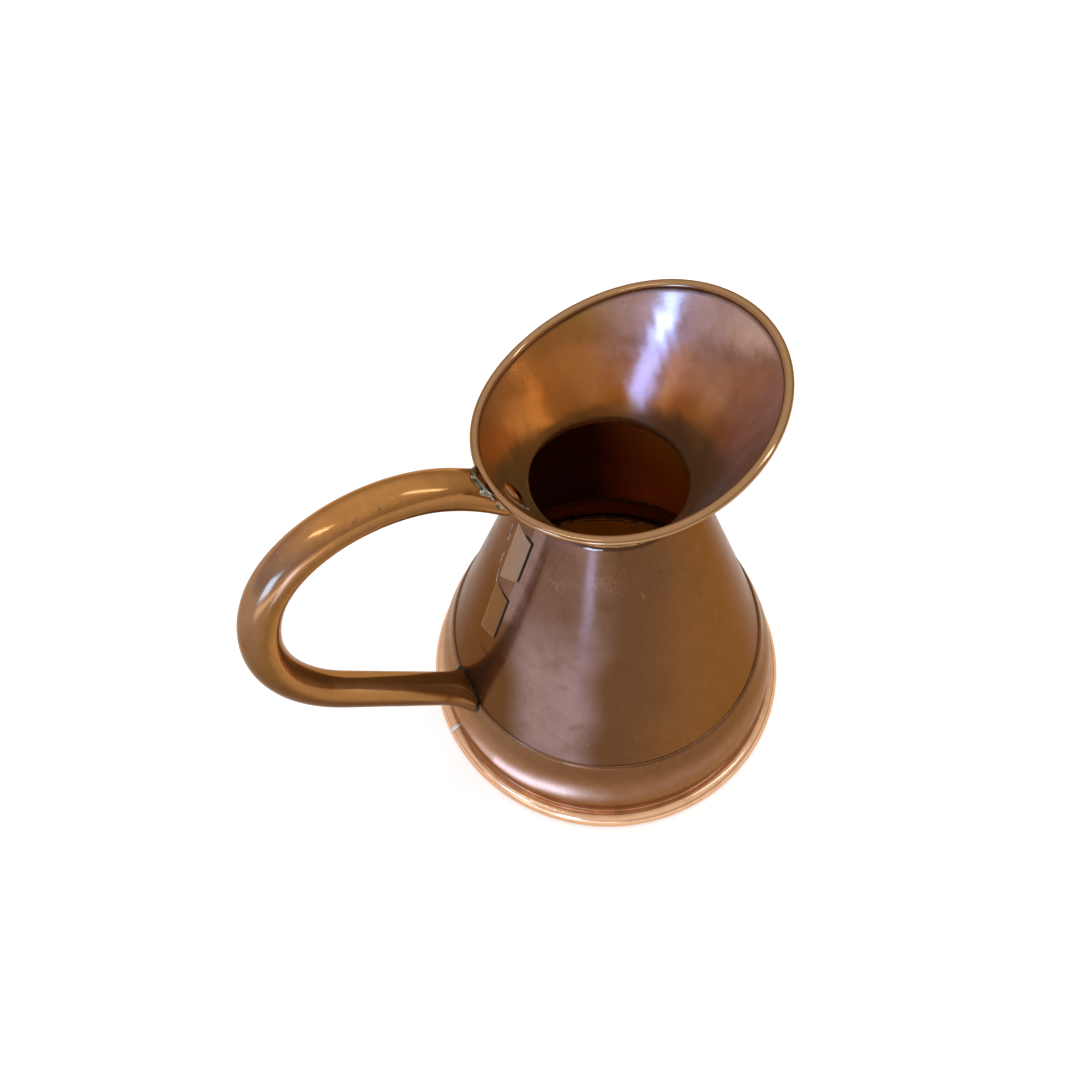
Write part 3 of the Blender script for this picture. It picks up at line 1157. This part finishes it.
# %% Solder, dirt and iron finishes
def solder_finish(name, grey, brown, pale, pale_share):
    """Patches of grey and brown with pale oxide specks over pale_share of it, and dark pits."""
    made, tree, shader = new_material(name)
    here = put(tree, "ShaderNodeTexCoord", out=3)
    patch = noise_node(tree, here, 160.0, 4, 0.6, twist=0.5)
    grain = noise_node(tree, here, 1400.0, 3, 0.6)
    specks = noise_node(tree, here, 420.0, 3, 0.6)
    cream = mask_node(tree, specks, 0.66 - 0.25 * pale_share, 0.76 - 0.25 * pale_share)
    cream = math_node(tree, "MAXIMUM", cream, attribute_node(tree, "wear"))
    pit = mask_node(tree, noise_node(tree, here, 230.0, 2, 0.5, shift=(3, 1, 2)), 0.60, 0.72)
    tint = mix_node(tree, mask_node(tree, patch, 0.38, 0.62), rgb(*grey), rgb(*brown))
    tint = mix_node(tree, pit, mix_node(tree, cream, tint, rgb(*pale)), rgb(0.05, 0.04, 0.03))
    rough = put(tree, "ShaderNodeMapRange", {"Value": patch, "From Min": 0.3, "From Max": 0.7,
                                             "To Min": 0.28, "To Max": 0.55})
    rise = math_node(tree, "MULTIPLY_ADD", grain, 0.3, patch)
    feed(tree, shader, {"Base Color": tint, "Roughness": rough,
                        "Metallic": math_node(tree, "MULTIPLY_ADD", cream, -0.7, 1.0),
                        "Normal": bump_node(tree, rise, 0.0002)})
    return made


SOLDERS = {
    "old_solder": ((0.25, 0.22, 0.135), (0.14, 0.12, 0.07), (0.55, 0.50, 0.38), 0.45),
    "bright_solder": ((0.60, 0.66, 0.66), (0.40, 0.44, 0.44), (0.75, 0.78, 0.76), 0.9),
    "browned_solder": ((0.40, 0.20, 0.07), (0.27, 0.14, 0.06), (0.45, 0.41, 0.33), 0.0),
    "stained_solder": ((0.22, 0.08, 0.012), (0.15, 0.05, 0.008), (0.24, 0.10, 0.02), 0.0),
    "blackened_solder": ((0.020, 0.015, 0.012), (0.012, 0.009, 0.007), (0.05, 0.04, 0.035), 0.1),
    "pale_trace": ((0.26, 0.19, 0.14), (0.17, 0.11, 0.07), (0.42, 0.36, 0.29), 0.8),
}
finishes.update({name: solder_finish(name, *recipe) for name, recipe in SOLDERS.items()})

finishes["joint_dirt"], tree, shader = new_material("joint_dirt")
crumbs = noise_node(tree, put(tree, "ShaderNodeTexCoord", out=3), 700.0, 3, 0.6)
dirt_color = mix_node(tree, mask_node(tree, crumbs, 0.5, 0.7), rgb(0.004, 0.003, 0.002),
                      rgb(0.03, 0.018, 0.010))
feed(tree, shader, {"Base Color": dirt_color, "Normal": bump_node(tree, crumbs, 0.0001),
                    "Roughness": 0.8, "Specular IOR Level": 0.15})

finishes["iron"], tree, shader = new_material("black_iron")
here = put(tree, "ShaderNodeTexCoord", out=3)
rust = mask_node(tree, noise_node(tree, here, 300.0, 4, 0.6), 0.45, 0.65)
feed(tree, shader, {
    "Base Color": mix_node(tree, rust, rgb(0.05, 0.045, 0.042), rgb(0.16, 0.06, 0.025)),
    "Roughness": math_node(tree, "MULTIPLY_ADD", rust, 0.35, 0.45),
    "Metallic": math_node(tree, "MULTIPLY_ADD", rust, -0.8, 1.0),
    "Normal": bump_node(tree, noise_node(tree, here, 900.0, 3, 0.6), 0.0001)})
print(len(finishes), "finishes in all")

# %% [markdown]
# Handing out the finishes
#
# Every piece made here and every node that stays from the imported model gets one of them.

# %% Assign
LOOKS = {
    "body": "body_shell seam_flap_low",
    "flap": "seam_flap_top",
    "flap_brown": "seam_flap_middle",
    "skirt": "skirt_shell",
    "flare": "flare_shell",
    "handle": "handle_shell handle_top_plug handle_foot_plug",
    "rivet": "handle_top_rivet_head handle_foot_rivet_head",
    "floor": "base_floor",
    "old_solder": "handle_top_solder_fillet",
    "blackened_solder": "handle_foot_solder_fillet",
    "joint_dirt": "seam_joint_top seam_joint_middle seam_joint_low",
    "pale_trace": "seam_trace_top seam_trace_middle seam_trace_low seam_trace_end",
    "bright_solder": "foot_seam_smear neck_trace",
    "browned_solder": "rivet_solder_pool neck_solder_fillet",
    "stained_solder": "base_solder_fillet",
    "iron": "foot_wire lip_wire",
}
finished = 0
for look, names in LOOKS.items():
    for name in names.split():
        materials = bpy.data.objects[name].data.materials
        materials.clear()
        materials.append(finishes[look])
        finished += 1
print(finished, "pieces have their finish")

# %% [markdown]
# Floor and light
#
# Polished metal shows what stands round it, so the light is made of surfaces: a wide soft one
# overhead, a pale room, and small cool windows, each where the metal mirrors it to the camera as
# one of the streaks and glints of the photograph. They light nothing else. A camera ray sees the
# floor near white, and the jug keeps its shadow on it.

# %% Floor, world and lamps
FLOOR_HALF, FLOOR_GLOW = 3.0, 0.28
mesh = bpy.data.meshes.new("ground")
corners = [(x * FLOOR_HALF, y * FLOOR_HALF, 0) for x, y in ((-1, -1), (1, -1), (1, 1), (-1, 1))]
mesh.from_pydata(corners, [], [(0, 1, 2, 3)])
ground = bpy.data.objects.new("ground", mesh)
bpy.context.scene.collection.objects.link(ground)
paper, tree, shader = new_material("pale_paper")
feed(tree, shader, {"Base Color": rgb(0.86, 0.86, 0.86), "Roughness": 0.9,
                    "Specular IOR Level": 0.2})
ray = tree.nodes.new("ShaderNodeLightPath").outputs
direct = math_node(tree, "MAXIMUM", ray["Is Camera Ray"], ray["Is Glossy Ray"])
strength = math_node(tree, "MULTIPLY", direct, FLOOR_GLOW)
glow = put(tree, "ShaderNodeEmission", {"Strength": strength})
both = put(tree, "ShaderNodeAddShader", {0: shader.outputs[0], 1: glow})
surface = next(node for node in tree.nodes if node.type == "OUTPUT_MATERIAL")
tree.links.new(both, surface.inputs[0])
ground.data.materials.append(paper)

world = bpy.data.worlds.new("room")
bpy.context.scene.world = world
world.use_nodes = True
tree = world.node_tree
look = put(tree, "ShaderNodeSeparateXYZ", {0: put(tree, "ShaderNodeTexCoord")}).node.outputs
walls = mix_node(tree, mask_node(tree, look["X"], -0.6, 0.6), rgb(0.60, 0.56, 0.66),
                 rgb(0.48, 0.44, 0.38))
sky = mix_node(tree, mask_node(tree, look["Z"], 0.05, 0.9), walls, rgb(1.0, 1.0, 1.0))
tree.links.new(sky, tree.nodes["Background"].inputs["Color"])


def panel(name, at, toward, size, radiance, color=(1, 1, 1), along=(0, 0, 1)):
    """A rectangular lamp that faces a point, with its height along a direction. Places are metres
    from the jug's axis, and the power is radiance times pi times the area."""
    lamp = bpy.data.lights.new(name, "AREA")
    lamp.shape = "RECTANGLE"
    lamp.size, lamp.size_y = size
    lamp.energy = radiance * math.pi * size[0] * size[1]
    lamp.color = color
    made = bpy.data.objects.new(name, lamp)
    bpy.context.scene.collection.objects.link(made)
    at, toward = (Vector((x + AXIS_X, y, z)) for x, y, z in (at, toward))
    back = (at - toward).normalized()
    right = Vector(along).cross(back).normalized()
    turn = Matrix((right, back.cross(right), back)).transposed()
    made.matrix_world = Matrix.Translation(at) @ turn.to_4x4()
    made.visible_camera = False
    return made


def beside(azimuth, distance, height):
    """A place by azimuth in degrees, distance and height, and the axis's point at that height."""
    turn = math.radians(azimuth)
    return (distance * math.cos(turn), distance * math.sin(turn), height), (0, 0, height)


COOL, BLUE, PALE_BLUE = (0.20, 0.38, 1.0), (0.17, 0.42, 1.0), (0.52, 0.72, 1.0)
middle = (0.0, 0.0, 0.12)
overhead = panel("overhead", (0.1, 0.15, 1.5), middle, (1.6, 1.6), 1.0, along=(0, 1, 0))
overhead.visible_glossy = False
mirrored = [
    panel("window", *beside(-160, 0.36, 0.222), (0.075, 0.085), 12.0, BLUE),
    panel("low_window", *beside(-134, 0.36, 0.085), (0.048, 0.17), 9.0, COOL),
    panel("band", *beside(-137, 0.50, 0.055), (0.46, 0.07), 2.4, (0.80, 0.85, 1.0)),
    panel("glint", (-0.31, -0.115, 0.555), (-0.116, 0, 0.236), (0.17, 0.022), 13.0,
          (0.75, 0.85, 1.0)),
    panel("streak", (-0.0290, -0.0045, 0.209), (0.039, 0.027, 0.208), (0.012, 0.048), 5.5, COOL,
          along=(0.226, 0.412, 0.883)),
    panel("warm_patch", (0.029, 0.010, 0.189), (-0.0226, 0.033, 0.199), (0.022, 0.018), 0.6,
          (1.0, 0.70, 0.5)),
    panel("skylight", (0.228, -0.253, 0.543), (-0.078, -0.005, 0.235), (0.05, 0.30), 8.0,
          PALE_BLUE),
    panel("foot_glow", (-0.0866, -0.0593, 0.012), (-0.0728, -0.054, 0.0288), (0.060, 0.014), 0.9,
          (0.55, 0.65, 1.0)),
]
for lamp in mirrored:
    lamp.visible_diffuse = False
print("one soft lamp overhead and", len(mirrored), "that only reflections show")

# %% [markdown]
# The camera
#
# Its place was solved from the outlines of foot, neck and lip in the photograph, so that the
# render has the photograph's perspective as well as its angle.

# %% Camera
lens = bpy.data.cameras.new("camera")
lens.lens, lens.sensor_width = 31.667, 36.0
camera = bpy.data.objects.new("camera", lens)
bpy.context.scene.collection.objects.link(camera)
right, up = Vector((0.886761, -0.459622, -0.049014)), Vector((0.415269, 0.745613, 0.521165))
place = Vector((-0.117151 + AXIS_X, -0.198883, 0.510562))
turn = Matrix((right, up, right.cross(up))).transposed()
camera.matrix_world = Matrix.Translation(place) @ turn.to_4x4()
bpy.context.scene.camera = camera
bpy.context.scene.view_settings.view_transform = "Standard"
to_middle = place - Vector(middle) - Vector((AXIS_X, 0, 0))
print("camera distance to the middle:", round(to_middle.length, 3), "m")

# %% [markdown]
# The last check
#
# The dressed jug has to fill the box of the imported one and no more, so both boxes are written down.

# %% Sizes and finish
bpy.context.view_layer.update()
